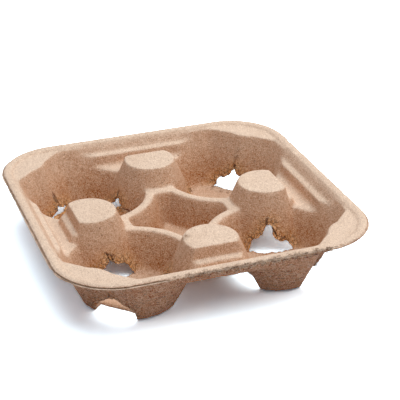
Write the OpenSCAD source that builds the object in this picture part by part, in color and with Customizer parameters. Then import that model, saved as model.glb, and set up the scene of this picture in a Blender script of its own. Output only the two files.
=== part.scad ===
// Moulded pulp carrier for four cups: one sheet with a rolled rim, a deck, four wells,
// four posts between the wells and a star-shaped pocket in the middle.
// Millimetres, +Z up, origin on the table under the middle of the tray.

/* [Tray] */
// Side of the square tray over the rim
tray_side = 215; // [205:1:240]
// Height of the rim's top above the table
tray_h = 44; // [42:0.5:56]
// Thickness of the pulp sheet
wall = 2; // [1.4:0.1:2.6]
// Drop from the rim's top to the deck between the wells
deck_drop = 16; // [12:0.5:20]

/* [Rim] */
// Width of the flat band on top of the rim
rim_w = 7.5; // [6:0.5:10]
// Corner radius of the rim's outer edge
rim_corner_r = 42; // [32:1:50]
// Rounding of the rim's outer edge
rim_edge_r = 1.5; // [0.8:0.1:2]
// Height of the upright lip below that rounding
lip_h = 0.3; // [0.2:0.1:4.4]
// Width of the thin flange round the foot of the lip
flange_w = 0.9; // [0.4:0.1:1.4]
// Thickness of that flange
flange_t = 0.6; // [0.4:0.1:1.2]

/* [Sides] */
// Drop from the rim's top to the corner shelves
shelf_drop = 1.8; // [1:0.1:3]
// Drop from the rim's top to the ledge half way along each side
ledge_drop = 7.5; // [6:0.5:10]
// Length of each ledge
ledge_len = 88; // [70:1:96]
// Width of each ledge
ledge_w = 4; // [2:0.5:6]
// Distance from the rim's inner edge to the ledge
ledge_setback = 4.4; // [3:0.2:6]
// Slope of the wall above the ledge, from vertical
ledge_draft = 33; // [20:1:40]
// Slope of the wall below the ledge, from vertical
side_draft = 11; // [5:1:18]
// Width of the slanted fold between that wall and the deck
fold_w = 2; // [2:0.5:6]
// Slope of that fold, from vertical
fold_draft = 45; // [35:1:55]

/* [Wells] */
// Distance between the axes of neighbouring wells
well_pitch = 101.4; // [98:0.2:106]
// Diameter of a well where it meets the deck
well_d = 83; // [76:0.5:88]
// Slope of a well's wall, from vertical
well_draft = 24.5; // [18:0.5:26]
// Distance from a well's axis to the edge of its corner shelf
corner_gap = 40.4; // [38:0.2:44]
// Slope of the wall below a corner shelf, from vertical
corner_draft = 23; // [16:0.5:25]
// Radius of the rib in the middle of that wall, at the shelf
rib_r = 20; // [12:1:26]
// How far the rib stands out of that wall
rib_proud = 1.9; // [1:0.1:3]
// Width of the slanted edge round the floor of a well
foot_w = 2.5; // [1:0.5:5]
// Slope of that edge, from vertical
foot_draft = 55; // [45:1:65]

/* [Posts] */
// Distance from the tray's middle to each post's axis
post_reach = 63.5; // [60:0.5:67]
// Diameter of a post's top
post_d = 36; // [30:0.5:40]
// Slope of a post's wall, from vertical
post_draft = 22.5; // [16:0.5:24]
// Drop from the rim's top to the posts
post_drop = 2; // [0.5:0.1:5]
// Distance from a post's axis to the straight edge on its outer side
post_flat = 10.8; // [8:0.2:14]
// Slope of the straight face below that edge, from vertical
post_flat_draft = 9; // [5:1:16]
// Drop from a post's top to the step on its outer side
step_drop = 8.5; // [6:0.5:11]
// Width of that step
step_w = 3.9; // [2:0.1:6]
// Slope of the face below the step, from vertical
step_draft = 22; // [12:1:28]

/* [Middle pocket] */
// Width of the ridge between a well and the pocket
ridge_w = 5.5; // [5:0.1:8]
// Distance across the pocket from point to point
pocket_span = 70; // [56:1:76]
// Height of the pocket's floor above the table
pocket_h = 6; // [4:0.5:16]
// Slope of the pocket's walls, from vertical
pocket_draft = 21; // [14:0.5:24]

/* [Windows] */
// Width of a window at its foot
window_w = 28.5; // [20:0.5:32]
// Width of a window at its shoulders
window_top_w = 25; // [16:0.5:28]
// Height of a window's shoulders above the table
window_h = 10; // [6:0.5:13]
// Width of the tear above a window
tear_w = 8; // [4:0.5:12]
// Height of the tear's tip above the table
tear_h = 16; // [14:0.5:20]
// Height of the sill of a post's window above the floor of a well
sill_h = 0.6; // [0.4:0.1:3]
// Distance from a well's axis to the edge of its floor, cut by the corner's window
floor_cut = 16.5; // [14:0.5:17]

/* [Hidden] */
$fn = 96;
// How far a cutter runs past the face that it opens
past = 2;
half = tray_side / 2;
// Rim's inner edge
inner_half = half - rim_w;
inner_r = rim_corner_r - rim_w;
// Heights above the table
shelf_h = tray_h - shelf_drop;
ledge_h = tray_h - ledge_drop;
post_h = tray_h - post_drop;
step_h = post_h - step_drop;
deck_h = tray_h - deck_drop;
// Top of the rooms below the shelves, half way up the rim's inner edge
mouth_h = tray_h - shelf_drop / 2;
// Places from the tray's middle
well_at = well_pitch / 2;
ledge_outer = inner_half - ledge_setback;
ledge_inner = ledge_outer - ledge_w;
flat_at = post_reach + post_flat;
// Ends of the windows on both sides of the walls that they open
window_in = well_d / 5;
window_out = well_d / 2;
quarters = [0, 90, 180, 270];

// Each surface of the sheet is drawn twice: depth is 0 for its upper side and wall for its lower side.
// A sloping face then moves by more than the wall's thickness, measured level.
function level_shift(depth, draft) = depth / cos(draft);
// Radius of a well, widening upwards
function well_r(z, depth) =
    well_d / 2 + (z - deck_h) * tan(well_draft) + level_shift(depth, well_draft);
// Radius of the slanted edge round a well's floor
function foot_rim_r(z, depth) =
    well_r(wall, 0) - foot_w + (z - wall) * tan(foot_draft) + level_shift(depth, foot_draft);
// Radius of a post, widening downwards
function post_r(z, depth) =
    post_d / 2 + (post_h - z) * tan(post_draft) - level_shift(depth, post_draft);
// Distance of the corner wall from the well's axis
function corner_u(z, depth) =
    corner_gap - (shelf_h - z) * tan(corner_draft) + level_shift(depth, corner_draft);
// Radius of the rib on that wall
function rib_radius(z, depth) =
    rib_r + (shelf_h - z) * tan(corner_draft) - level_shift(depth, corner_draft);
// Place of the wall above the ledge
function upper_side_x(z, depth) =
    ledge_outer + (z - ledge_h) * tan(ledge_draft) + level_shift(depth, ledge_draft);
// Place of the wall between the deck and the ledge
function lower_side_x(z, depth) =
    ledge_inner + (z - ledge_h) * tan(side_draft) + level_shift(depth, side_draft);
// Place of the fold between that wall and the deck
function fold_x(z, depth) =
    lower_side_x(deck_h, 0) - fold_w + (z - deck_h) * tan(fold_draft) + level_shift(depth, fold_draft);
// Place of the straight faces on a post's outer side
function flat_x(z, depth) =
    flat_at + (post_h - z) * tan(post_flat_draft) - level_shift(depth, post_flat_draft);
function step_x(z, depth) =
    flat_x(step_h, 0) + step_w + (step_h - z) * tan(step_draft) - level_shift(depth, step_draft);
// Radius of the pocket's outer bound, and of its walls round a well's axis
function pocket_r(z, depth) =
    pocket_span / 2 - (deck_h - z) * tan(pocket_draft) + level_shift(depth, pocket_draft);
function ridge_r(z, depth) =
    well_d / 2 + ridge_w + (deck_h - z) * tan(pocket_draft) - level_shift(depth, pocket_draft);

module rounded_square(half_side, corner_r) {
    straight = half_side - corner_r;
    square([2 * half_side, 2 * straight], center = true);
    square([2 * straight, 2 * half_side], center = true);
    for (x = [-straight, straight], y = [-straight, straight])
        translate([x, y])
            circle(corner_r);
}

// A shape repeated on the axis of each well, turned so that +X points at the tray's corner
module at_wells() {
    for (turn = quarters)
        rotate(turn)
            translate([well_at, well_at])
                rotate(45)
                    children();
}

// A profile in X and Z, drawn out along Y
module drawn_along_y(length) {
    rotate([90, 0, 0])
        translate([0, 0, -length / 2])
            linear_extrude(length)
                children();
}

// A profile in X and Z, as wide on both sides of the middle
module trapezium(half_foot, half_head, foot_z, head_z) {
    polygon([[-half_foot, foot_z], [half_foot, foot_z], [half_head, head_z], [-half_head, head_z]]);
}

// Section of the rim from its outer edge inwards: the flange, the lip above it, the rounded edge and the band
module rim_section() {
    round_at = flange_w + rim_edge_r;
    round_z = tray_h - rim_edge_r;
    flange_z = round_z - lip_h;
    foot_z = flange_z - flange_t;
    translate([-rim_w, tray_h - wall])
        square([rim_w - round_at, wall]);
    polygon([
        [-flange_w - wall, foot_z],
        [0, foot_z],
        [0, flange_z],
        [-flange_w, flange_z],
        [-flange_w, round_z],
        [-flange_w - wall, round_z]
    ]);
    intersection() {
        translate([-round_at, round_z])
            circle(rim_edge_r);
        translate([-round_at, round_z])
            square(rim_edge_r);
    }
}

// Rim swept round the tray: four straight runs and four corners
module rim() {
    straight = half - rim_corner_r;
    for (turn = quarters)
        rotate(turn) {
            translate([half, 0])
                drawn_along_y(2 * straight)
                    rim_section();
            translate([straight, straight])
                rotate_extrude(angle = 90)
                    translate([rim_corner_r, 0])
                        rim_section();
        }
}

// Room inside the rim, down to the corner shelves
module rim_room(depth) {
    roof_z = depth == 0 ? tray_h + past : tray_h - wall / 2;
    translate([0, 0, shelf_h - depth])
        linear_extrude(roof_z - shelf_h + depth)
            rounded_square(inner_half + depth, inner_r + depth);
}

// Room above the ledge half way along each side
module ledge_rooms(depth) {
    floor_z = ledge_h - depth;
    for (turn = quarters)
        rotate(turn)
            drawn_along_y(ledge_len + 2 * depth)
                polygon([
                    [0, floor_z],
                    [upper_side_x(floor_z, depth), floor_z],
                    [upper_side_x(mouth_h, depth), mouth_h],
                    [0, mouth_h]
                ]);
}

// Room above the deck, inside its four side walls and the folds at their feet
module deck_room(depth) {
    floor_z = deck_h - depth;
    intersection_for (turn = [0, 90])
        rotate(turn)
            drawn_along_y(tray_side)
                intersection() {
                    trapezium(lower_side_x(floor_z, depth), lower_side_x(mouth_h, depth), floor_z, mouth_h);
                    trapezium(fold_x(floor_z, depth), fold_x(mouth_h, depth), floor_z, mouth_h);
                }
}

// Conical room in each well, down to a floor with a slanted edge
module well_rooms(depth) {
    floor_z = wall - depth;
    room_h = mouth_h - floor_z;
    at_wells()
        translate([0, 0, floor_z])
            intersection() {
                cylinder(h = room_h, r1 = well_r(floor_z, depth), r2 = well_r(mouth_h, depth));
                cylinder(h = room_h, r1 = foot_rim_r(floor_z, depth), r2 = foot_rim_r(mouth_h, depth));
            }
}

// Posts between the wells: cones with a straight, stepped outer side
module posts(depth) {
    head_z = post_h - depth;
    tread_z = step_h - depth;
    for (turn = quarters)
        rotate(turn)
            intersection() {
                translate([post_reach, 0, -past])
                    cylinder(h = head_z + past, r1 = post_r(-past, depth), r2 = post_r(head_z, depth));
                drawn_along_y(tray_side)
                    polygon([
                        [0, -past],
                        [step_x(-past, depth), -past],
                        [step_x(tread_z, depth), tread_z],
                        [flat_x(tread_z, depth), tread_z],
                        [flat_x(head_z, depth), head_z],
                        [0, head_z]
                    ]);
            }
}

// Ground under the corner shelves: a sloping wall across each well's corner, with a rib in its middle
module corners(depth) {
    head_z = mouth_h + past;
    rib_at = corner_gap - rib_proud + rib_r;
    at_wells() {
        drawn_along_y(well_pitch)
            polygon([
                [corner_u(-past, depth), -past],
                [well_pitch, -past],
                [well_pitch, head_z],
                [corner_u(head_z, depth), head_z]
            ]);
        translate([rib_at, 0, -past])
            cylinder(h = head_z + past, r1 = rib_radius(-past, depth), r2 = rib_radius(head_z, depth));
    }
}

// Star-shaped pocket: a cone-shaped room cut back by the ridges round the four wells
module pocket_room(depth) {
    floor_z = pocket_h - depth;
    mouth_z = deck_h + past;
    difference() {
        translate([0, 0, floor_z])
            cylinder(h = mouth_z - floor_z, r1 = pocket_r(floor_z, depth), r2 = pocket_r(mouth_z, depth));
        at_wells()
            translate([0, 0, floor_z - past])
                cylinder(
                    h = mouth_z - floor_z + 2 * past,
                    r1 = ridge_r(floor_z - past, depth),
                    r2 = ridge_r(mouth_z + past, depth)
                );
    }
}

// Room bounded by the sheet's upper side, or by its lower side
module room(depth) {
    rim_room(depth);
    difference() {
        union() {
            ledge_rooms(depth);
            deck_room(depth);
            well_rooms(depth);
        }
        posts(depth);
        corners(depth);
    }
    pocket_room(depth);
}

// Window with a tear above it, from its foot up and from its near end out through the wall
module window(foot_z, near) {
    shoulder_z = window_h + (tear_h - window_h) / 4;
    translate([near, 0, 0])
        rotate([90, 0, 90])
            linear_extrude(window_out - near)
                polygon([
                    [-window_w / 2, foot_z],
                    [-window_top_w / 2, window_h],
                    [-tear_w / 2, shoulder_z],
                    [0, tear_h],
                    [tear_w / 2, shoulder_z],
                    [window_top_w / 2, window_h],
                    [window_w / 2, foot_z]
                ]);
}

// Windows in the feet of the walls: down through the floor towards a corner, above a sill towards a post
module windows() {
    post_turn = atan2(well_at, post_reach - well_at);
    at_wells() {
        window(-past, floor_cut);
        for (turn = [45 + post_turn, -45 - post_turn])
            rotate(turn)
                window(wall + sill_h, window_in);
    }
}

module carrier() {
    color("tan")
        difference() {
            union() {
                rim();
                room(wall);
            }
            room(0);
            windows();
        }
}

carrier();
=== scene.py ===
import math
import bpy
import bmesh
import numpy as np
from mathutils import Matrix, Vector, noise


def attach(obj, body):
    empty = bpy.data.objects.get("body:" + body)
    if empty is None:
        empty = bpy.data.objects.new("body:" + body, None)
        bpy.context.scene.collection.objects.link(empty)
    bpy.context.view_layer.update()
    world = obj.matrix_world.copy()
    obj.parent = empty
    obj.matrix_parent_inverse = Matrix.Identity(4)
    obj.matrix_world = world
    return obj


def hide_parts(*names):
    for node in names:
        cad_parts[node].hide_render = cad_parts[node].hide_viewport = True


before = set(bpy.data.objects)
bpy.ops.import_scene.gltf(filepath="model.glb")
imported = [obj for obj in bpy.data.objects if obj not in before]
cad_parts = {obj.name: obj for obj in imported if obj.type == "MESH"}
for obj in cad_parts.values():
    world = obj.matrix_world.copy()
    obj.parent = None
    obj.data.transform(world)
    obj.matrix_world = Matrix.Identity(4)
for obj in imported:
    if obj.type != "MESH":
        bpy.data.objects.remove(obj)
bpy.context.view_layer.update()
mm = 0.001
print("frame: nodes", sorted(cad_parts))

# The tray's plan: places of the wells and posts, as in the solid
plan = dict(wellAt=50.7 * mm, postReach=63.5 * mm)

# The photograph's camera, fitted to the rim, the posts and the wells
cameraView = dict(azimuth=-20.20, elevation=27.06, roll=-0.21,
                  place=(-249.34 * mm, -721.06 * mm, 427.59 * mm),
                  focalPixels=1245.3, framePixels=400, sensor=36, clipEnd=20)


def makeCamera(s):
    az, el, roll = (math.radians(s[k]) for k in ("azimuth", "elevation", "roll"))
    back = Vector((math.sin(az) * math.cos(el), -math.cos(az) * math.cos(el), math.sin(el)))
    right = (-back).cross(Vector((0, 0, 1))).normalized()
    up = right.cross(-back)
    turnedRight = math.cos(roll) * right + math.sin(roll) * up
    turnedUp = math.cos(roll) * up - math.sin(roll) * right
    camera = bpy.data.objects.new("camera", bpy.data.cameras.new("camera"))
    camera.data.sensor_width = s["sensor"]
    camera.data.lens = s["focalPixels"] / s["framePixels"] * s["sensor"]
    camera.data.clip_end = s["clipEnd"]
    axes = Matrix((turnedRight, turnedUp, back)).transposed()
    camera.matrix_world = Matrix.Translation(s["place"]) @ axes.to_4x4()
    bpy.context.scene.collection.objects.link(camera)
    bpy.context.scene.camera = camera


class Value:  # a shader number: arithmetic on it adds Math nodes
    def __init__(self, finish, socket):
        self.finish, self.socket = finish, socket

    def join(self, operation, a, b):
        return self.finish.add("ShaderNodeMath", dict(operation=operation), {0: a, 1: b})

    def __add__(self, other):
        return self.join("ADD", self, other)

    def __radd__(self, other):
        return self.join("ADD", other, self)

    def __sub__(self, other):
        return self.join("SUBTRACT", self, other)

    def __rsub__(self, other):
        return self.join("SUBTRACT", other, self)

    def __mul__(self, other):
        return self.join("MULTIPLY", self, other)


class Finish:  # a material and the nodes that make it
    def __init__(self, name):
        self.material = bpy.data.materials.new(name)
        self.material.use_nodes = True
        self.nodes = self.material.node_tree.nodes
        self.links = self.material.node_tree.links
        self.nodes.clear()

    def add(self, kind, settings=None, sockets=None, output=0):
        node = self.nodes.new(kind)
        for key, value in (settings or {}).items():
            setattr(node, key, value)
        for key, value in (sockets or {}).items():
            socket = node.inputs[key]
            if isinstance(value, Value):
                self.links.new(value.socket, socket)
            else:
                socket.default_value = value
        return Value(self, node.outputs[output])

    def attribute(self, name):  # a number stored on the mesh
        return self.add("ShaderNodeAttribute", dict(attribute_name=name), None, output=2)

    def mix(self, factor, a, b):  # a colour mix: A and B are the 6th and 7th sockets
        return self.add("ShaderNodeMix", dict(data_type="RGBA"), {0: factor, 6: a, 7: b}, output=2)

    def ramp(self, value, low, high):  # 0 below low, 1 above high
        return self.add("ShaderNodeMapRange", dict(interpolation_type="SMOOTHSTEP"),
                        {"Value": value, "From Min": low, "From Max": high})

    def close(self, shader):
        end = self.nodes.new("ShaderNodeOutputMaterial")
        self.links.new(shader.socket, end.inputs["Surface"])
        return self.material


def linkMesh(name, mesh):
    obj = bpy.data.objects.new(name, mesh)
    bpy.context.scene.collection.objects.link(obj)
    return obj


def settle(obj):  # modifiers become plain mesh
    graph = bpy.context.evaluated_depsgraph_get()
    mesh = bpy.data.meshes.new_from_object(obj.evaluated_get(graph))
    obj.modifiers.clear()
    obj.data = mesh
    return mesh


def meshFrom(name, bm):
    mesh = bpy.data.meshes.new(name)
    bm.to_mesh(mesh)
    bm.free()
    return mesh


def closedMesh(name, bm):  # in triangles that all face out
    bmesh.ops.triangulate(bm, faces=bm.faces)
    bmesh.ops.recalc_face_normals(bm, faces=bm.faces)
    return meshFrom(name, bm)


def points(mesh):
    flat = np.empty(len(mesh.vertices) * 3)
    mesh.vertices.foreach_get("co", flat)
    return flat.reshape(-1, 3)


def setPoints(mesh, place):
    mesh.vertices.foreach_set("co", place.ravel())
    mesh.update()


def storeAttribute(mesh, name, values):
    held = mesh.attributes.new(name, "FLOAT", "POINT")
    held.data.foreach_set("value", values.astype(np.float32))


def rise(values, start, run):  # 0 up to start, 1 from start + run
    return np.clip((values - start) / run, 0, 1)


def closeness(apart, reach):  # 1 at no distance, 0 from reach on
    return np.clip(1 - apart / reach, 0, 1)


# Torn windows. Each well has three: one towards the tray's corner and one towards each post beside it.
# An edge runs from the left foot over the tear to the right foot, as seen from the well's axis
# looking out, in mm across and up. Slits are cracks from one point to another.
tornWindow = dict(
    edge=[(14.2, 2.6), (13.8, 6), (12.0, 9.6), (4.4, 11.4), (1.0, 14.6), (-0.2, 15.6), (-1.4, 13.8),
          (-4.2, 11.2), (-12.2, 9.6), (-13.8, 6), (-14.2, 2.6)],
    slits=[((0.0, 14.8), (0.6, 21.0))], ragged=0.7, step=0.7)
frontWindow = dict(
    edge=[(14.8, -2), (14.2, 6), (12.0, 10.2), (4.4, 12.4), (1.0, 16.4), (-0.2, 17.6), (-1.4, 15.4),
          (-4.2, 12.0), (-12.2, 10.0), (-14.2, 6), (-14.8, -2)])
tornWindows = {
    ("frontRight", "right"): dict(
        edge=[(14.2, 2.8), (13.7, 3.9), (12.3, 6.7), (11.8, 9.9), (10.7, 11.4), (8.4, 12.2), (4.6, 14.0),
              (3.0, 17.6), (0.9, 19.7), (-0.6, 21.0), (-1.9, 19.6), (-2.5, 16.6), (-2.7, 13.3),
              (-4.1, 11.3), (-6.2, 10.4), (-10.5, 9.1), (-13.9, 8.0), (-15.3, 5.9), (-16.3, 3.5),
              (-16.4, 2.8)],
        slits=[((0.6, 19.0), (1.1, 22.6), (0.0, 25.2)), ((-2.0, 19.6), (-3.6, 16.2), (-5.2, 13.2)),
               ((4.9, 13.4), (6.4, 15.2)), ((-6.0, 10.0), (-9.0, 11.6), (-11.6, 11.2)),
               ((10.6, 11.0), (12.6, 12.6))], ragged=0.45),
    ("frontLeft", "left"): dict(
        edge=[(15.0, 2.6), (14.4, 5), (12.0, 9.6), (8.0, 11.4), (5.2, 13.4), (3.1, 16.0), (1.4, 17.0),
              (-1.6, 13.9), (-5.5, 13.0), (-9.6, 11.5), (-11.9, 9.5), (-13.8, 6.5), (-15.3, 3.4),
              (-15.6, 2.6)],
        slits=[((-2.0, 13.4), (-0.4, 17.6), (0.7, 20.4)), ((1.2, 16.4), (2.4, 19.6), (3.6, 22.4)),
               ((-9.0, 11.0), (-9.6, 13.4))], ragged=0.45),
    ("rearRight", "corner"): dict(
        edge=[(16.6, 1.9), (14.6, 4.2), (14.2, 7.3), (13.1, 9.1), (9.7, 9.6), (6.7, 11.1), (4.0, 13.2),
              (2.8, 15.5), (0.7, 18.0), (-0.8, 15.9), (-1.4, 14.4), (-3.1, 12.7), (-8.0, 11.0),
              (-12.8, 9.4), (-14.4, 4), (-14.6, 2.2)],
        slits=[((0.6, 17.4), (0.9, 20.4)), ((9.2, 9.2), (10.6, 10.8)), ((3.6, 12.8), (5.4, 14.0))],
        ragged=0.4),
    ("rearLeft", "corner"): dict(
        edge=[(11.2, 6.8), (7.6, 7.9), (5.5, 8.2), (3.1, 8.6), (1.5, 9.4), (0.6, 11.0), (-0.2, 12.6),
              (-1.4, 11.7), (-2.6, 10.7), (-5.5, 9.3), (-8.7, 8.1), (-13.0, 6.6), (-12.1, 5.8),
              (-8.9, 5.8), (-4.4, 6.4), (0.8, 7.2), (4.9, 6.9), (7.9, 6.0)],
        slits=[((-3.2, 10.6), (-2.0, 16.8), (-0.7, 21.7)), ((-1.0, 11.8), (-0.4, 16.0), (-0.1, 19.9)),
               ((1.2, 10.2), (3.4, 12.2))], ragged=0.3),
    ("rearLeft", "rear"): dict(
        edge=[(14.4, 2.6), (14.0, 5), (12.0, 9.6), (6.0, 11.4), (2.6, 13.6), (1.7, 16.4), (0.3, 17.6),
              (-2.0, 15.9), (-4.2, 14.5), (-5.0, 13.2), (-2.4, 11.8), (0.4, 9.0), (2.0, 5.0), (2.4, 2.6)],
        slits=[((1.8, 15.5), (1.1, 19.2), (0.7, 22.2)),
               ((-5.6, 12.2), (-8.7, 12.7), (-12.2, 12.6), (-14.8, 11.8))], ragged=0.4),
    ("frontLeft", "corner"): dict(
        edge=[(17.2, -2), (16.4, 2.4), (15.6, 6.7), (14.0, 10.0), (11.0, 11.0), (7.2, 12.4), (3.8, 14.1),
              (2.4, 15.6), (0.8, 14.0), (-3.9, 12.0), (-7.8, 9.8), (-10.2, 7.5), (-13.2, 3.0),
              (-14.4, -2)], ragged=0.4),
    ("frontRight", "corner"): dict(
        edge=[(15.6, -2), (15.4, 4.6), (13.6, 9.4), (8.0, 10.6), (3.6, 12.2), (0.2, 16.0), (-2.4, 12.6),
              (-8.2, 10.6), (-12.4, 9.4), (-14.4, 4), (-15.0, -2)]),
    ("frontRight", "front"): frontWindow,
    ("frontLeft", "front"): frontWindow,
}
wellSides = {"frontLeft": (-1, -1), "frontRight": (1, -1), "rearLeft": (-1, 1), "rearRight": (1, 1)}


def windowList():
    found = []
    for well, (sx, sy) in wellSides.items():
        axis = Vector((sx, sy, 0)) * plan["wellAt"]
        sidePost = "right" if sx > 0 else "left"
        endPost = "rear" if sy > 0 else "front"
        goals = {"corner": axis * 2, sidePost: Vector((sx * plan["postReach"], 0, 0)),
                 endPost: Vector((0, sy * plan["postReach"], 0))}
        for towards, goal in goals.items():
            out = (goal - axis).normalized()
            across = Vector((-out.y, out.x, 0))
            settings = {**tornWindow, **tornWindows.get((well, towards), {})}
            found.append(dict(axis=axis, out=out, across=across, seed=len(found),
                              corner=towards == "corner", **settings))
    return found


def wallPoint(w, reach, across, up):  # from a window's own measures in mm to a place in the scene
    return w["axis"] + (w["out"] * reach + w["across"] * across + Vector((0, 0, up))) * mm


tearNoise = dict(coarse=0.35, coarsePush=1.2, coarseSeed=7.3, fine=1.1, finePush=0.9, fineSeed=3.1,
                 fineShift=50)


def wander(path, step, amount, seed, s=tearNoise):  # a polyline cut into short steps, pushed sideways
    points2d = []
    for (x0, y0), (x1, y1) in zip(path, path[1:]):
        length = math.hypot(x1 - x0, y1 - y0)
        count = max(1, round(length / step))
        for k in range(count):
            t = k / count
            x, y = x0 + (x1 - x0) * t, y0 + (y1 - y0) * t
            coarse = noise.noise(Vector((x * s["coarse"], y * s["coarse"], seed * s["coarseSeed"])))
            fine = noise.noise(Vector((x * s["fine"], y * s["fine"], seed * s["fineSeed"] + s["fineShift"])))
            push = amount * (coarse * s["coarsePush"] + fine * s["finePush"])
            points2d.append((x - push * (y1 - y0) / length, y + push * (x1 - x0) / length))
    points2d.append(path[-1])
    return points2d


def windowOutline(w):  # a closed outline: over the tear, and back along the sill
    return wander(w["edge"] + [w["edge"][0]], w["step"], w["ragged"], w["seed"])[:-1]


slitForm = dict(step=0.9, ragged=0.55, seedShift=20, width=1.3, tip=0.12)  # mm


def slitLine(slit, seed, s=slitForm):
    return wander(list(slit), s["step"], s["ragged"], seed + s["seedShift"])


def slitOutline(line, s=slitForm):  # a thin wedge along a crooked line
    count = len(line) - 1
    half = [s["width"] / 2 * (1 - k / count) + s["tip"] for k in range(count + 1)]
    wide = [(x + h, y) for h, (x, y) in zip(half, line)]
    narrow = [(x - h, y) for h, (x, y) in zip(half, line)]
    return wide + narrow[::-1]


# The wall across a window, as in the solid: a cone round the post, or a slope with a rib below the
# corner shelf. In mm.
wallForm = dict(thick=2, postRadius=18, postTop=42, postDraft=22.5, cornerGap=40.4, shelfTop=42.2,
                cornerDraft=23, ribRadius=20, ribProud=1.9, halfWidth=16.5, top=18.5, foot=0.1)


def wallReach(corner, across, up, depth, f=wallForm):  # distance of the wall's face from the well's axis
    draft = math.radians(f["cornerDraft"] if corner else f["postDraft"])
    shift = depth / math.cos(draft)
    if corner:
        slope = (f["shelfTop"] - up) * math.tan(draft)
        rib = f["ribRadius"] + slope - shift
        ribAt = f["cornerGap"] - f["ribProud"] + f["ribRadius"]
        return np.minimum(f["cornerGap"] - slope + shift, ribAt - np.sqrt(rib ** 2 - across ** 2))
    radius = f["postRadius"] + (f["postTop"] - up) * math.tan(draft) - shift
    between = math.hypot(plan["postReach"] - plan["wellAt"], plan["wellAt"]) / mm
    return between - np.sqrt(radius ** 2 - across ** 2)


# A plate that closes a window, and a box that makes the floor's cut edge at a corner whole. In mm.
plateForm = dict(columns=22, rows=12, skin=0.02, floorNear=15.5, floorFar=24.5, floorHalf=15.5)
boxFaces = ((0, 1, 3, 2), (4, 6, 7, 5), (0, 4, 5, 1), (2, 3, 7, 6), (0, 2, 6, 4), (1, 5, 7, 3))


def addWallPlate(bm, w, s=plateForm, f=wallForm):
    columns, rows = s["columns"], s["rows"]
    depths = (s["skin"], f["thick"] - s["skin"])
    layers = []
    for depth in depths:
        layer = []
        for j in range(rows + 1):
            up = f["foot"] + (f["top"] - f["foot"]) * j / rows
            row = []
            for i in range(columns + 1):
                across = f["halfWidth"] * (1 - 2 * i / columns)
                reach = wallReach(w["corner"], across, up, depth)
                row.append(bm.verts.new(wallPoint(w, reach, across, up)))
            layer.append(row)
        layers.append(layer)
    if w["corner"]:
        box = [bm.verts.new(wallPoint(w, reach, across, up)) for reach in (s["floorNear"], s["floorFar"])
               for across in (-s["floorHalf"], s["floorHalf"]) for up in depths]
        for face in boxFaces:
            bm.faces.new([box[k] for k in face])
    front, back = layers
    for j in range(rows):
        for i in range(columns):
            bm.faces.new((front[j][i], front[j][i + 1], front[j + 1][i + 1], front[j + 1][i]))
            bm.faces.new((back[j][i], back[j + 1][i], back[j + 1][i + 1], back[j][i + 1]))
    for i in range(columns):
        bm.faces.new((front[0][i + 1], front[0][i], back[0][i], back[0][i + 1]))
        bm.faces.new((front[rows][i], front[rows][i + 1], back[rows][i + 1], back[rows][i]))
    for j in range(rows):
        bm.faces.new((front[j][0], front[j + 1][0], back[j + 1][0], back[j][0]))
        bm.faces.new((front[j + 1][columns], front[j][columns], back[j][columns], back[j + 1][columns]))


# How far the cuts go: holes from the well's axis, slits from the wall's face. In mm.
cutReach = dict(near=16.5, ragged=1.3, raggedGrain=0.32, seedStep=5.7, far=31, slitLead=1.5, slitDepth=1.5)


def holePrism(w, outline, s=cutReach):  # right through the wall, with a ragged edge where it meets the floor
    prism = []
    for x, z in outline:
        sway = s["ragged"] * noise.noise(Vector((x * s["raggedGrain"], w["seed"] * s["seedStep"], 0)))
        prism.append((x, z, s["near"] + sway, s["far"]))
    return prism


def slitPrism(w, outline, s=cutReach):  # only part of the way into the wall
    prism = []
    for x, z in outline:
        face = wallReach(w["corner"], x, z, 0)
        prism.append((x, z, face - s["slitLead"], face + s["slitDepth"]))
    return prism


def addPrism(bm, w, prism):  # an outline across the wall, drawn out from the well's axis
    near = [bm.verts.new(wallPoint(w, a, x, z)) for x, z, a, b in prism]
    far = [bm.verts.new(wallPoint(w, b, x, z)) for x, z, a, b in prism]
    count = len(prism)
    bm.faces.new(near)
    bm.faces.new(far[::-1])
    for k in range(count):
        bm.faces.new((near[k], far[k], far[(k + 1) % count], near[(k + 1) % count]))


def cutterMesh(name, prisms):
    bm = bmesh.new()
    for w, prism in prisms:
        addPrism(bm, w, prism)
    return closedMesh(name, bm)


def carve(obj, mesh, operation="DIFFERENCE"):
    tool = linkMesh("tool", mesh)
    step = obj.modifiers.new("carve", "BOOLEAN")
    step.operation, step.solver, step.object = operation, "MANIFOLD", tool
    settle(obj)
    bpy.data.objects.remove(tool)


# The thin flange that the mould leaves round the foot of the rim's edge, chipped here and there. In mm.
flangeForm = dict(half=107.5, corner=42, top=42.2, thick=0.6, width=0.95, root=2.0, step=1.0, bevel=0.1,
                  wobble=0.16, swayGrain=0.22, riseGrain=0.16, riseSeed=30,
                  chip=0.75, chipGrain=0.12, chipSeed=9, chipFrom=0.12, chipGain=2.4)


def rimPath(half, corner, step):  # points on the rim's outer edge and the way out from each
    path = []
    straight = half - corner
    runs, turns = round(2 * straight / step), round(corner * math.pi / 2 / step)
    for quarter in range(4):
        turn = Matrix.Rotation(quarter * math.pi / 2, 3, "Z")
        for k in range(runs):
            path.append((turn @ Vector((half, straight * (2 * k / runs - 1), 0)), turn @ Vector((1, 0, 0))))
        for k in range(turns):
            a = math.pi / 2 * k / turns
            out = Vector((math.cos(a), math.sin(a), 0))
            path.append((turn @ (Vector((straight, straight, 0)) + out * corner), turn @ out))
    return path


def edgeInset(place):  # distance of points from the rim's outer edge, negative inside it
    aside = np.abs(place[:, :2]) - flangeForm["half"] + flangeForm["corner"]
    return np.hypot(*np.maximum(aside, 0).T) + np.minimum(aside.max(1), 0) - flangeForm["corner"]


# The rim's top is a low bead: how far it drops on either side of its crest. In mm.
beadForm = dict(crest=-3.4, inner=4.4, innerDrop=1.0, outer=2.6, outerDrop=0.5, start=41.6, depth=2.4)


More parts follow.
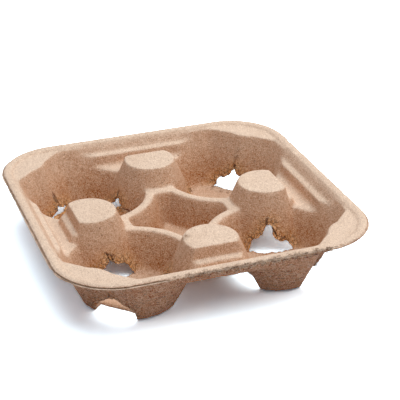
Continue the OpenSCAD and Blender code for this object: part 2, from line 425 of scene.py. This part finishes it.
def shapeBead(obj, s=beadForm):
    place = points(obj.data) / mm
    inset = edgeInset(place) - s["crest"]
    inside = s["innerDrop"] * np.clip(-inset / s["inner"], 0, 1) ** 2
    outside = s["outerDrop"] * np.clip(inset / s["outer"], 0, 1) ** 2
    place[:, 2] -= (inside + outside) * rise(place[:, 2], s["start"], s["depth"])
    setPoints(obj.data, place * mm)


def fade(value, low, high):
    return min(1, max(0, (value - low) / (high - low)))


wornForm = dict(start=-50, end=-30, inner=92, outer=99)  # mm: where the front edge begins to be frayed


def wornAt(place, start=wornForm["start"], end=wornForm["end"]):  # 1 where it is frayed, 0 elsewhere
    return fade(place.x, start, end) * fade(-place.y, wornForm["inner"], wornForm["outer"])


def ringMesh(name, bm, rings):
    for this, after in zip(rings, rings[1:] + rings[:1]):
        for k in range(len(this)):
            j = (k + 1) % len(this)
            bm.faces.new((this[k], this[j], after[j], after[k]))
    return closedMesh(name, bm)


def flangeMesh(s=flangeForm):
    bm = bmesh.new()
    rings = []
    root = -s["width"] - s["root"]
    for place, out in rimPath(s["half"], s["corner"], s["step"]):
        sway = noise.noise(place * s["swayGrain"]) * s["wobble"]
        bite = noise.noise(place * s["chipGrain"] + Vector((0, 0, s["chipSeed"])))
        chip = max(0, bite - s["chipFrom"]) * s["chipGain"] * s["chip"]
        edge = min(0, sway - chip - s["chip"] * wornAt(place))
        lift = noise.noise(place * s["riseGrain"] + Vector((0, 0, s["riseSeed"]))) * s["wobble"]
        section = [(root, s["top"]), (edge - s["bevel"], s["top"] + lift),
                   (edge, s["top"] - s["thick"] / 2 + lift),
                   (edge - s["bevel"], s["top"] - s["thick"] + lift),
                   (root, s["top"] - s["thick"] + s["bevel"])]
        rings.append([bm.verts.new((place + out * a + Vector((0, 0, z))) * mm) for a, z in section])
    return ringMesh("flange", bm, rings)


# The crease between the flange and the rounded edge above it. It runs clear of the frayed edge. In mm.
grooveForm = dict(deep=0.95, sway=0.2, swayGrain=0.3, away=3, foot=0.05, past=2, pastFoot=0.1, pastTop=1.4,
                  back=0.1, backTop=0.8)


def grooveMesh(s=grooveForm, f=flangeForm):
    bm = bmesh.new()
    rings = []
    for place, out in rimPath(f["half"], f["corner"], f["step"]):
        away = s["away"] * wornAt(place)
        deep = -f["width"] - s["deep"] - s["sway"] * noise.noise(place * s["swayGrain"])
        section = [(deep, f["top"] + s["foot"]), (s["past"], f["top"] - s["pastFoot"]),
                   (s["past"], f["top"] + s["pastTop"]), (-f["width"] + s["back"], f["top"] + s["backTop"])]
        rings.append([bm.verts.new((place + out * (a + away) + Vector((0, 0, z))) * mm) for a, z in section])
    return ringMesh("groove", bm, rings)


# The deeper, frayed lip along the right part of the front edge: its section, out from the edge and up,
# where it starts and ends along x, and how ragged it is. In mm.
lipForm = dict(section=[(-4.5, 43.2), (-1.7, 43.2), (-0.8, 42.4), (-0.55, 41.2), (-0.65, 39.8),
                        (-1.3, 38.7), (-2.6, 38.6), (-4.5, 40.8)], top=43.2, root=-4,
               start=-40, full=-5, fadeFrom=48, fadeTo=72, least=0.02, shallow=0.2, back=0.3,
               ragged=0.5, grain=0.55, outPush=0.8)


def lipMesh(s=lipForm, f=flangeForm):
    bm = bmesh.new()
    path = rimPath(f["half"], f["corner"], f["step"])
    rows = []
    for place, out in path[3 * len(path) // 4:]:  # the last quarter is the front
        worn = wornAt(place, s["start"], s["full"]) * fade(-place.x, -s["fadeTo"], -s["fadeFrom"])
        if worn > s["least"]:
            row = []
            for a, z in s["section"]:
                spot = place + Vector((0, 0, z))
                push = s["ragged"] * noise.noise(spot * s["grain"]) if a > s["root"] else 0
                drop = (s["top"] - z) * (s["shallow"] + (1 - s["shallow"]) * worn) + push
                reach = a + push * s["outPush"] - s["back"] * (1 - worn)
                row.append(bm.verts.new((place + out * reach + Vector((0, 0, s["top"] - drop))) * mm))
            rows.append(row)
    count = len(s["section"])
    for this, after in zip(rows, rows[1:]):
        for k in range(count):
            bm.faces.new((this[k], this[(k + 1) % count], after[(k + 1) % count], after[k]))
    bm.faces.new(rows[0])
    bm.faces.new(rows[-1][::-1])
    return closedMesh("lip", bm)


# Relief of the moulded sheet: rounded folds, slow waves, felt-like grain, a coarser underside and a
# frayed front edge. Below it, where each begins, in mm, and by how much the surface faces down.
relief = dict(round=14, wave=0.28, waveSize=26, felt=0.11, feltSize=2.8, underFelt=0.5, underSize=2.8,
              fray=1.8, fraySize=3.4)
reliefZone = dict(rim=41.2, belowRim=39.6, edgeStart=-103.4, edgeFull=-105.8, frayLow=36, frayFull=40,
                  rimBlur=0.2, foldBlur=0.4, underStart=0.05, underFull=-0.15, squash=(1, 1, 2.2))


class Tree:  # a Geometry Nodes tree with a number input for each setting
    def __init__(self, name, settings):
        self.tree = bpy.data.node_groups.new(name, "GeometryNodeTree")
        face = self.tree.interface
        face.new_socket("Geometry", in_out="INPUT", socket_type="NodeSocketGeometry")
        for key, value in settings.items():
            kind = "NodeSocketInt" if isinstance(value, int) else "NodeSocketFloat"
            face.new_socket(key, in_out="INPUT", socket_type=kind)
        face.new_socket("Geometry", in_out="OUTPUT", socket_type="NodeSocketGeometry")
        self.start = self.tree.nodes.new("NodeGroupInput")
        self.end = self.tree.nodes.new("NodeGroupOutput")

    def input(self, name):
        return self.start.outputs[name]

    def put(self, kind, settings=None, sockets=None, output=0):
        node = self.tree.nodes.new(kind)
        for key, value in (settings or {}).items():
            setattr(node, key, value)
        for key, value in (sockets or {}).items():
            if isinstance(value, bpy.types.NodeSocket):
                self.tree.links.new(value, node.inputs[key])
            else:
                node.inputs[key].default_value = value
        return node.outputs[output]

    def maths(self, operation, a, b):
        return self.put("ShaderNodeMath", dict(operation=operation), {0: a, 1: b})

    def length(self, name):  # an input in mm
        return self.maths("MULTIPLY", self.input(name), mm)

    def fade(self, value, low, high):  # 0 at low, 1 at high
        return self.put("ShaderNodeMapRange", None, {"Value": value, "From Min": low, "From Max": high})

    def close(self, geometry, material):
        real = self.put("GeometryNodeRealizeInstances", None, {"Geometry": geometry})
        coated = self.put("GeometryNodeSetMaterial", None, {"Geometry": real, "Material": material})
        self.tree.links.new(coated, self.end.inputs[0])
        return self.tree


def reliefTree(material, s=reliefZone):
    t = Tree("pulpRelief", relief)
    position = t.put("GeometryNodeInputPosition")
    x, y, z = (t.put("ShaderNodeSeparateXYZ", None, {0: position}, output=k) for k in range(3))
    # the rim keeps its edges, but for the frayed one, and the folds are rounder
    below = t.fade(z, s["rim"] * mm, s["belowRim"] * mm)
    frontEdge = t.maths("MULTIPLY", t.fade(y, s["edgeStart"] * mm, s["edgeFull"] * mm),
                        t.fade(x, lipForm["start"] * mm, lipForm["full"] * mm))
    more = t.maths("MULTIPLY", t.maths("MAXIMUM", below, frontEdge), s["foldBlur"])
    blurred = t.put("GeometryNodeBlurAttribute", dict(data_type="FLOAT_VECTOR"),
                    {"Value": position, "Iterations": t.input("round"),
                     "Weight": t.maths("ADD", more, s["rimBlur"])})
    rounded = t.put("GeometryNodeSetPosition", None, {"Geometry": t.input("Geometry"), "Position": blurred})
    normal = t.put("GeometryNodeInputNormal")
    up = t.put("ShaderNodeSeparateXYZ", None, {0: normal}, output=2)

    def lumps(size, amount, seed, stretch=(1, 1, 1)):
        spot = t.put("ShaderNodeVectorMath", dict(operation="MULTIPLY"), {0: position, 1: stretch})
        scale = t.maths("DIVIDE", 1 / mm, t.input(size))
        texture = t.put("ShaderNodeTexNoise", dict(noise_dimensions="4D"),
                        {"Vector": spot, "Scale": scale, "W": seed, "Detail": 2.0, "Roughness": 0.55})
        return t.maths("MULTIPLY", t.maths("SUBTRACT", texture, 0.5), t.input(amount))

    under = t.fade(up, s["underStart"], s["underFull"])
    wave = lumps("waveSize", "wave", seed=1.5)
    felt = lumps("feltSize", "felt", seed=8.2)
    rough = t.maths("MULTIPLY", lumps("underSize", "underFelt", seed=4.7, stretch=s["squash"]), under)
    frayed = t.maths("MULTIPLY", frontEdge, t.fade(z, s["frayLow"] * mm, s["frayFull"] * mm))
    fray = t.maths("MULTIPLY", lumps("fraySize", "fray", seed=6.1, stretch=s["squash"]), frayed)
    total = t.maths("ADD", t.maths("ADD", wave, felt), t.maths("ADD", rough, fray))
    height = t.maths("MULTIPLY", total, 2 * mm)  # the noise goes half a unit each way
    offset = t.put("ShaderNodeVectorMath", dict(operation="SCALE"), {0: normal, "Scale": height})
    moved = t.put("GeometryNodeSetPosition", None, {"Geometry": rounded, "Offset": offset})
    return t.close(moved, material)


def runTree(obj, tree, settings):
    step = obj.modifiers.new("nodes", "NODES")
    step.node_group = tree
    for socket in tree.interface.items_tree:
        if socket.item_type == "SOCKET" and socket.in_out == "INPUT" and socket.name in settings:
            step[socket.identifier] = settings[socket.name]
    return settle(obj)


# Voxels in mm, and triangles left after thinning: the fibres add about 20,000
sheetBuild = dict(weld=1e-6, voxel=0.6, triangles=175000, tearKeep=0.6)


def closeSheet(windows):  # the solid's mesh with its windows closed, in even small faces
    bm = bmesh.new()
    bm.from_mesh(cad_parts["carrier"].data)
    bmesh.ops.remove_doubles(bm, verts=bm.verts, dist=sheetBuild["weld"])
    for w in windows:
        addWallPlate(bm, w)
        w["outline"] = windowOutline(w)
        w["lines"] = [slitLine(slit, w["seed"] * 3 + k) for k, slit in enumerate(w["slits"])]
    bmesh.ops.recalc_face_normals(bm, faces=bm.faces)
    obj = linkMesh("pulpSheet", meshFrom("pulpSheet", bm))
    remesh = obj.modifiers.new("voxels", "REMESH")
    remesh.mode, remesh.voxel_size = "VOXEL", sheetBuild["voxel"] * mm
    settle(obj)
    return obj


def tearSheet(obj, windows):  # the rim's edge is finished and the windows torn open
    shapeBead(obj)
    carve(obj, grooveMesh())
    carve(obj, flangeMesh(), "UNION")
    carve(obj, lipMesh(), "UNION")
    carve(obj, cutterMesh("windows", [(w, holePrism(w, w["outline"])) for w in windows]))
    for k in range(max(len(w["lines"]) for w in windows)):
        slits = [(w, slitPrism(w, slitOutline(w["lines"][k]))) for w in windows if len(w["lines"]) > k]
        carve(obj, cutterMesh("slits", slits))
    print("sheet: torn,", len(obj.data.polygons), "faces")


def thinSheet(obj, kept):  # fewer triangles, but not so few at the tears
    group = obj.vertex_groups.new(name="thin")
    group.add(range(len(obj.data.vertices)), 1, "REPLACE")
    group.add(kept.tolist(), sheetBuild["tearKeep"], "REPLACE")
    obj.data.calc_loop_triangles()
    thin = obj.modifiers.new("thin", "DECIMATE")
    thin.ratio = min(1, sheetBuild["triangles"] / len(obj.data.loop_triangles))
    thin.use_collapse_triangulate = True
    thin.vertex_group = "thin"
    settle(obj)
    obj.vertex_groups.clear()
    dropStray(obj)
    print("sheet: thinned,", len(obj.data.polygons), "triangles")


def dropStray(obj):  # faces that the thinning left sticking out of the closed sheet
    bm = bmesh.new()
    bm.from_mesh(obj.data)
    stray = [face for face in bm.faces if all(len(edge.link_faces) != 2 for edge in face.edges)]
    bmesh.ops.delete(bm, geom=stray, context="FACES")
    bm.to_mesh(obj.data)
    bm.free()


def makeSheet(material):
    windows = windowList()
    obj = closeSheet(windows)
    runTree(obj, reliefTree(material), relief)
    print("sheet: rounded,", len(obj.data.polygons), "faces")
    tearSheet(obj, windows)
    thinSheet(obj, shapeTears(obj, windows))
    bare = len(obj.data.vertices)
    addFibres(obj, windows, material)
    place = points(obj.data)
    place[:, 2] = np.maximum(place[:, 2], 0)  # nothing goes through the table
    setPoints(obj.data, place)
    markSheet(obj, windows, bare)
    obj.data.materials.clear()
    obj.data.materials.append(material)
    for face in obj.data.polygons:
        face.use_smooth, face.material_index = True, 0
    return obj


def outlineDistance(place, outline):  # distance of points to a polyline across a wall
    best = np.full(len(place), 1e9)
    for (x0, y0), (x1, y1) in zip(outline, outline[1:]):
        dx, dy = x1 - x0, y1 - y0
        t = np.clip(((place[:, 0] - x0) * dx + (place[:, 1] - y0) * dy) / (dx * dx + dy * dy), 0, 1)
        best = np.minimum(best, np.hypot(place[:, 0] - x0 - t * dx, place[:, 1] - y0 - t * dy))
    return best


# Torn edges: thin and curled at the edge itself, wrinkled further out, with the floor left as it is.
# Below it, which part of the wall moves and how near a tear the mesh stays fine. In mm.
tearForm = dict(thinReach=3.0, thinTo=0.32, curl=2.2, curlReach=4.5, curlGrain=0.21, wrinkle=0.7,
                wrinkleReach=10, wrinkleSize=2.2, seedStep=9.7, floorTop=1.4, floorFade=1.2)
tearZone = dict(half=20, low=1.2, high=34, front=-1.2, back=3.6, fine=2.5)


def tearMove(w, across, up, depth, s=tearForm):  # the new depth of points in the wall round a window
    apart = outlineDistance(np.stack([across, up], 1), w["outline"] + w["outline"][:1])
    edge = closeness(apart, s["thinReach"]) ** 2
    lip = closeness(apart, s["curlReach"]) ** 2
    zone = closeness(apart, s["wrinkleReach"])
    spots = [Vector((a, z, w["seed"] * s["seedStep"])) for a, z in zip(across, up)]
    curl = np.array([noise.noise(p * s["curlGrain"]) for p in spots])
    wrinkle = np.array([noise.noise(p / s["wrinkleSize"] + Vector((3, 7, 0))) for p in spots])
    thinned = depth * (1 - (1 - s["thinTo"]) * edge)
    moved = thinned + s["curl"] * lip * curl + s["wrinkle"] * zone * wrinkle
    share = rise(up, s["floorTop"], s["floorFade"])
    return moved * share + depth * (1 - share)


def shapeTears(obj, windows, s=tearZone):  # gives back the vertices at the tears
    place = points(obj.data) / mm
    near = np.zeros(len(place), bool)
    for w in windows:
        local = place - np.array(w["axis"]) / mm
        reach, across, up = local @ np.array(w["out"]), local @ np.array(w["across"]), place[:, 2]
        face = wallReach(w["corner"], np.clip(across, -s["half"], s["half"]), np.clip(up, 0, s["high"]), 0)
        depth = reach - face
        held = np.flatnonzero((np.abs(across) < s["half"]) & (up > s["low"]) & (up < s["high"])
                              & (depth > s["front"]) & (depth < s["back"]))
        moved = tearMove(w, across[held], up[held], depth[held])
        place[held] += np.outer(moved - depth[held], np.array(w["out"]))
        apart = outlineDistance(np.stack([across[held], up[held]], 1), w["outline"])
        near[held[apart < s["fine"]]] = True
    setPoints(obj.data, place * mm)
    return np.flatnonzero(near)


# Loose fibres along the torn edges and the frayed front edge, each a closed spike. In mm, angles in radians.
fibreForm = dict(spacing=1.1, length=1.5, thick=0.16, seed=3)
frayForm = dict(ends=(-30, 66), lines=[(-106.4, 43.2), (-106.9, 42.4), (-105.8, 40.8)], spacing=0.6,
                length=1.4, thick=0.28, seed=8)
spikeForm = dict(sides=3, rings=2, tip=0.25, turn=6.28, shortest=0.35, longest=1.3, inWall=0.9)


def fibreTree(settings, material, s=spikeForm):  # thin spikes pointing all ways along a line
    t = Tree("fibres", settings)
    curve = t.put("GeometryNodeMeshToCurve", None, {0: t.input("Geometry")})
    line = t.put("GeometryNodeResampleCurve", dict(mode="LENGTH"),
                 {"Curve": curve, "Length": t.length("spacing")})
    spike = t.put("GeometryNodeMeshCone", dict(fill_type="NGON"),
                  {"Vertices": s["sides"], "Side Segments": s["rings"], "Radius Top": s["tip"],
                   "Radius Bottom": 1.0, "Depth": 1.0})
    turn = t.put("FunctionNodeRandomValue", dict(data_type="FLOAT_VECTOR"),
                 {0: (0, 0, 0), 1: (s["turn"],) * 3, "Seed": t.input("seed")})
    size = t.put("FunctionNodeRandomValue", dict(data_type="FLOAT"),
                 {2: s["shortest"], 3: s["longest"], "Seed": t.maths("ADD", t.input("seed"), 5)}, output=1)
    thick = t.length("thick")
    scale = t.put("ShaderNodeCombineXYZ", None,
                  {0: thick, 1: thick, 2: t.maths("MULTIPLY", size, t.length("length"))})
    made = t.put("GeometryNodeInstanceOnPoints", None,
                 {"Points": line, "Instance": spike, "Rotation": turn, "Scale": scale})
    return t.close(made, material)


def lineMesh(lines):
    corners, edges = [], []
    for line in lines:
        first = len(corners)
        corners += line
        edges += [(first + k, first + k + 1) for k in range(len(line) - 1)]
    mesh = bpy.data.meshes.new("fibreLines")
    mesh.from_pydata(corners, edges, [])
    return mesh


def addFibres(obj, windows, material):
    torn = []
    for w in windows:
        edge = np.array(w["outline"])
        depth = tearMove(w, edge[:, 0], edge[:, 1], np.full(len(edge), spikeForm["inWall"]))
        reach = wallReach(w["corner"], edge[:, 0], edge[:, 1], 0) + depth
        torn.append([wallPoint(w, r, a, z) for r, (a, z) in zip(reach, edge)])
    frayed = [[Vector((x, y, z)) * mm for x in frayForm["ends"]] for y, z in frayForm["lines"]]
    bm = bmesh.new()
    bm.from_mesh(obj.data)
    for lines, settings in ((torn, fibreForm), (frayed, {k: frayForm[k] for k in fibreForm})):
        fibres = linkMesh("fibres", lineMesh(lines))
        runTree(fibres, fibreTree(settings, material), settings)
        bm.from_mesh(fibres.data)
        bpy.data.objects.remove(fibres)
    bm.to_mesh(obj.data)
    bm.free()


# Fine cracks elsewhere on the sheet: up the rear right corner, on a ridge and beside the front post. In mm.
fineCracks = [[(70.1, 72.0, 19.0), (72.4, 73.6, 25.5), (74.5, 75.0, 31.3), (75.7, 76.2, 35.5)],
              [(-24.6, -18.6, 27.8), (-19.8, -24.6, 28.2), (-13.6, -32.0, 28.0)],
              [(-15.0, -55.9, 42.0), (-18.0, -60.6, 41.3)]]


def lineDistance(place, line):  # distance of points to a polyline in space
    best = np.full(len(place), 1e9)
    for start, end in zip(line, line[1:]):
        start, along = np.array(start), np.subtract(end, start)
        t = np.clip((place - start) @ along / (along @ along), 0, 1)
        best = np.minimum(best, np.linalg.norm(place - start - np.outer(t, along), axis=1))
    return best


# Where the sheet's colours change. Tears: reach from the well's axis, and how far stains and cracks show.
# Then the crease at the flange, the frayed edge, and the low and the level parts, which carry painted shade:
# a dark line in the crease, darker faces that point down or lie deep, and a lighter colour on level tops that
# fades low down. In mm, slopes from -1 to 1.
tornMark = dict(near=9, far=46, half=30, fade=13, crack=0.7, fineCrack=1.6, floor=2.3, floorRun=2)
creaseShadeMark = dict(up=0.3, half=0.5, inner=-2.4, outer=-0.7)
frayMark = dict(front=104.0, frontRun=1.6, low=36, lowRun=2, start=-80, startRun=65)
slopeMark = dict(under=-0.05, underRun=0.2, level=0.4, levelRun=0.5, lowShare=0.45, low=14, lowRun=14,
                 deep=-32, deepRun=18)


def tearMarks(place, windows, s=tornMark):  # nearness to the tears, and to the cracks
    torn, crack = np.zeros(len(place)), np.zeros(len(place))
    for w in windows:
        local = place - np.array(w["axis"]) / mm
        reach = local @ np.array(w["out"])
        across = local @ np.array(w["across"])
        close = (reach > s["near"]) & (reach < s["far"]) & (np.abs(across) < s["half"])
        flat = np.stack([across[close], place[close, 2]], 1)
        nearness = closeness(outlineDistance(flat, w["outline"] + w["outline"][:1]), s["fade"])
        torn[close] = np.maximum(torn[close], nearness)
        for line in w["lines"]:
            crack[close] = np.maximum(crack[close], closeness(outlineDistance(flat, line), s["crack"]))
    for line in fineCracks:
        crack = np.maximum(crack, closeness(lineDistance(place, line), s["fineCrack"] * s["crack"]))
    return torn * rise(place[:, 2], s["floor"], s["floorRun"]), crack


def markSheet(obj, windows, bare):
    mesh = obj.data
    place = points(mesh) / mm
    x, y, z = place.T
    torn, crack = tearMarks(place, windows)
    c, e, s = creaseShadeMark, frayMark, slopeMark
    inset = edgeInset(place)
    # painted shade: a dark line along the crease between the flange and the rounded edge above it
    creaseShade = closeness(np.abs(z - flangeForm["top"] - c["up"]), c["half"])
    creaseShade = creaseShade * (inset > c["inner"]) * (inset < c["outer"])
    front = rise(-y, e["front"], e["frontRun"]) * rise(z, e["low"], e["lowRun"])
    frayed = front * rise(x, e["start"], e["startRun"])
    normals = np.empty(len(place) * 3)
    mesh.vertices.foreach_get("normal", normals)
    up = normals.reshape(-1, 3)[:, 2]
    # painted light: level parts low down get less of the lighter top colour
    high = s["lowShare"] + (1 - s["lowShare"]) * rise(z, s["low"], s["lowRun"])
    storeAttribute(mesh, "torn", torn)
    # the crack marks hold real cracks and also painted shade in the crease at the flange
    storeAttribute(mesh, "crack", np.maximum(crack, creaseShade * (1 - frayed)))
    storeAttribute(mesh, "frayed", frayed)
    storeAttribute(mesh, "fibre", (np.arange(len(place)) >= bare) * 1.0)
    # painted shade: darker on faces that point down
    storeAttribute(mesh, "under", rise(-up, s["under"], s["underRun"]))
    # painted light and shade: lighter on level tops, darker on deep faces
    storeAttribute(mesh, "level", rise(up, s["level"], s["levelRun"]) * high)
    storeAttribute(mesh, "deep", rise(-z, s["deep"], s["deepRun"]) * (up > 0))


# Pulp: kraft brown, mottled and flecked, orange where it is torn, rougher below. Painted shade: the wall,
# deep and under colours darken the walls, the low wells and the faces that point down. Linear colours.
# Then the textures' scales, per metre, and how strongly each mark covers the colour below it.
pulpLook = dict(base=(0.72, 0.536, 0.397, 1), dark=(0.60, 0.405, 0.275, 1), torn=(0.66, 0.33, 0.125, 1),
                fleck=(0.20, 0.11, 0.065, 1), under=(0.68, 0.255, 0.115, 1), wall=(0.62, 0.375, 0.235, 1),
                deep=(0.46, 0.225, 0.11, 1), crack=(0.17, 0.08, 0.038, 1), fibre=(0.70, 0.50, 0.355, 1),
                speckle=(0.52, 0.47, 0.38))
pulpScale = dict(cloud=45.0, dents=140.0, fleckPick=150.0, blotch=210.0, streak=260.0, crackle=300.0,
                 fleck=330.0, mottle=520.0, grain=1500.0)
pulpCover = dict(cloud=0.3, fleck=0.6, torn=0.72, under=0.6, crack=0.75, crackle=0.6, fibre=0.85,
                 frayedShadeDash=0.8, underShadeDash=0.5)
pulpBump = dict(mottle=0.6, grain=0.4, dents=0.5, crackle=0.5, under=0.7, frayedStreak=1.2, underStreak=0.5,
                height=1.2 * mm)


def pulpFinish(look=pulpLook, scale=pulpScale, cover=pulpCover, bumps=pulpBump):
    f = Finish("pulp")
    place = f.add("ShaderNodeTexCoord", None, None, output=3)

    def lumps(name, detail, rough, seed):
        return f.add("ShaderNodeTexNoise", dict(noise_dimensions="4D"),
                     {"Vector": place, "W": seed, "Scale": scale[name], "Detail": detail, "Roughness": rough})

    names = ("torn", "under", "level", "deep", "crack", "fibre", "frayed")
    torn, under, level, deep, crack, fibre, frayed = (f.attribute(name) for name in names)
    cloud = lumps("cloud", 3.0, 0.55, 1.0)
    mottle = lumps("mottle", 4.0, 0.75, 2.0)
    grain = lumps("grain", 2.0, 0.6, 3.0)
    blotch = lumps("blotch", 3.0, 0.6, 7.0)
    dents = lumps("dents", 3.0, 0.6, 6.0)

    # the sheet itself, with clouds and flecks, and painted light and shade: the light base on level tops, the
    # darker wall colour elsewhere and the darker deep colour low in the wells
    colour = f.mix(level, f.mix(deep, look["wall"], look["deep"]), look["base"])
    colour = f.mix(f.ramp(cloud, 0.45, 0.75) * cover["cloud"], colour, look["dark"])
    fleckCell = f.add("ShaderNodeTexVoronoi", dict(feature="F1"), {"Vector": place, "Scale": scale["fleck"]})
    fleckPick = lumps("fleckPick", 1.0, 0.5, 5.0)
    fleck = f.ramp(0.24 - fleckCell, 0.0, 0.12) * f.ramp(fleckPick, 0.62, 0.68)
    colour = f.mix(fleck * cover["fleck"], colour, look["fleck"])

    # stains and crackle at the tears, and painted shade on the faces that point down
    stain = f.ramp(torn * 0.75 + mottle * 0.4 + blotch * 0.5, 0.6, 1.25)
    colour = f.mix(stain * cover["torn"], colour, look["torn"])
    colour = f.mix(under * cover["under"], colour, look["under"])
    bent = f.add("ShaderNodeVectorMath", dict(operation="MULTIPLY_ADD"),
                 {0: blotch, 1: (4 * mm, 4 * mm, 4 * mm), 2: place})
    cell = f.add("ShaderNodeTexVoronoi", dict(feature="DISTANCE_TO_EDGE"),
                 {"Vector": bent, "Scale": scale["crackle"]})
    crackle = f.ramp(0.10 - cell, 0.0, 0.10) * f.ramp(torn + blotch * 0.6, 0.75, 1.1)
    # dark cracks and crackle, with painted shade in the crease at the flange
    colour = f.mix(crack * cover["crack"] + crackle * cover["crackle"], colour, look["crack"])
    colour = f.mix(fibre * cover["fibre"], colour, look["fibre"])

    # painted shade: dark dashes for the small shadows among the fibres of the frayed edge and of the
    # underside
    long = f.add("ShaderNodeVectorMath", dict(operation="MULTIPLY"), {0: place, 1: (1, 1, 4)})
    streak = f.add("ShaderNodeTexNoise", None,
                   {"Vector": long, "Scale": scale["streak"], "Detail": 4.0, "Roughness": 0.65})
    shadeDashes = f.ramp(0.5 - streak, 0.02, 0.12)
    shadeDashCover = frayed * cover["frayedShadeDash"] + under * (1.0 - frayed) * cover["underShadeDash"]
    colour = f.mix(shadeDashes * shadeDashCover, colour, look["crack"])

    # fine speckle over all of it
    speckle = (mottle - 0.5) * 0.95 + (grain - 0.5) * 2.1 + (blotch - 0.5) * 0.35
    speckle = speckle * (1.0 - level * 0.1 + under * 0.5)
    colour = f.add("ShaderNodeVectorMath", dict(operation="MULTIPLY_ADD"),
                   {0: speckle, 1: look["speckle"], 2: colour})

    height = (mottle * bumps["mottle"] + grain * bumps["grain"]) * (1.0 + under * bumps["under"])
    height = height + dents * bumps["dents"] - crackle * bumps["crackle"]
    height = height + streak * (frayed * bumps["frayedStreak"] + under * bumps["underStreak"])
    bump = f.add("ShaderNodeBump", None, {"Strength": 1.0, "Distance": bumps["height"], "Height": height})
    roughness = f.ramp(mottle, 0.2, 0.9) * 0.12 + 0.82
    shader = f.add("ShaderNodeBsdfPrincipled", None,
                   {"Base Color": colour, "Roughness": roughness, "Normal": bump, "Specular IOR Level": 0.25})
    return f.close(shader)


# Studio: a white floor that keeps the shadow, a wide soft lamp above and to the right, and a weak sky
studio = dict(floorSize=6.0, floorSeen=(2.4, 2.76, 2.9, 1), floorBounce=(0.64, 0.76, 0.86, 1),
              skyLevel=0.3, sky=(0.84, 0.96, 1.13, 1), skySeen=(1, 1, 1, 1),
              keyPlace=(0.34, -0.03, 1.15), keySize=2.2, keyPower=25.0)
seenRays = ("Is Camera Ray", "Is Glossy Ray", "Is Transmission Ray")


def floorFinish():
    f = Finish("floor")
    seen = sum(f.add("ShaderNodeLightPath", None, None, output=ray) for ray in seenRays)
    colour = f.mix(seen, studio["floorBounce"], studio["floorSeen"])
    return f.close(f.add("ShaderNodeBsdfDiffuse", None, {"Color": colour}))


def makeFloor():
    half = studio["floorSize"] / 2
    mesh = bpy.data.meshes.new("floor")
    corners = [(-half, -half, 0), (half, -half, 0), (half, half, 0), (-half, half, 0)]
    mesh.from_pydata(corners, [], [(0, 1, 2, 3)])
    mesh.materials.append(floorFinish())
    linkMesh("floor", mesh)


def makeLamp():
    key = bpy.data.lights.new("key", "AREA")
    key.shape, key.size, key.energy = "DISK", studio["keySize"], studio["keyPower"]
    lamp = bpy.data.objects.new("key", key)
    lamp.location = studio["keyPlace"]
    lamp.rotation_euler = Vector(studio["keyPlace"]).to_track_quat("Z", "Y").to_euler()
    bpy.context.scene.collection.objects.link(lamp)


def makeSky():  # white where it is seen, a weak blue for the light that it gives
    world = bpy.data.worlds.new("sky")
    world.use_nodes = True
    nodes, links = world.node_tree.nodes, world.node_tree.links
    fill = nodes["Background"]
    fill.inputs["Color"].default_value = studio["sky"]
    fill.inputs["Strength"].default_value = studio["skyLevel"]
    white = nodes.new("ShaderNodeBackground")
    white.inputs["Color"].default_value = studio["skySeen"]
    path = nodes.new("ShaderNodeLightPath")
    seen = path.outputs[seenRays[0]]
    for ray in seenRays[1:]:
        both = nodes.new("ShaderNodeMath")
        links.new(seen, both.inputs[0])
        links.new(path.outputs[ray], both.inputs[1])
        seen = both.outputs[0]
    mixed = nodes.new("ShaderNodeMixShader")
    links.new(seen, mixed.inputs[0])
    links.new(fill.outputs[0], mixed.inputs[1])
    links.new(white.outputs[0], mixed.inputs[2])
    links.new(mixed.outputs[0], nodes["World Output"].inputs["Surface"])
    bpy.context.scene.world = world


makeCamera(cameraView)
sheet = makeSheet(pulpFinish())
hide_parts("carrier")
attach(sheet, "root")
makeFloor()
makeLamp()
makeSky()
bpy.context.scene.view_settings.view_transform = "Standard"
print("studio: floor, lamp and sky")
